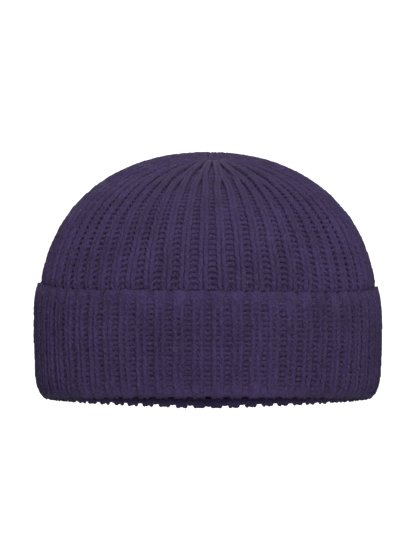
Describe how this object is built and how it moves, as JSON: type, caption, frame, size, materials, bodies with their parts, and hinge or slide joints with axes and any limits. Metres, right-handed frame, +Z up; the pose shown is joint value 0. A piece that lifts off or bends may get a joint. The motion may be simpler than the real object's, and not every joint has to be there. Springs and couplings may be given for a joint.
{
  "type": "fisherman beanie",
  "caption": "Ribbed knitted fisherman beanie with a deep turned-up cuff and a gathered, rounded crown.",
  "frame": {"origin": "on the surface that the hat stands on, under the middle of its outline", "axes": "+Z up through the crown, -Y towards the front of the hat, +X to the right as seen from the front"},
  "size_m": [0.1846, 0.2058, 0.1356],
  "materials": {
    "crown_knit": "thick fisherman rib knit in muted purple wool, matt",
    "cuff_knit": "thick fisherman rib knit in muted purple wool, turned up, matt",
    "closure_knit": "drawn-in stitches of the same muted purple wool, matt"
  },
  "bodies": {
    "root": {"crown": "crown_knit", "cuff": "cuff_knit", "crown_closure": "closure_knit"}
  },
  "joints": []
}
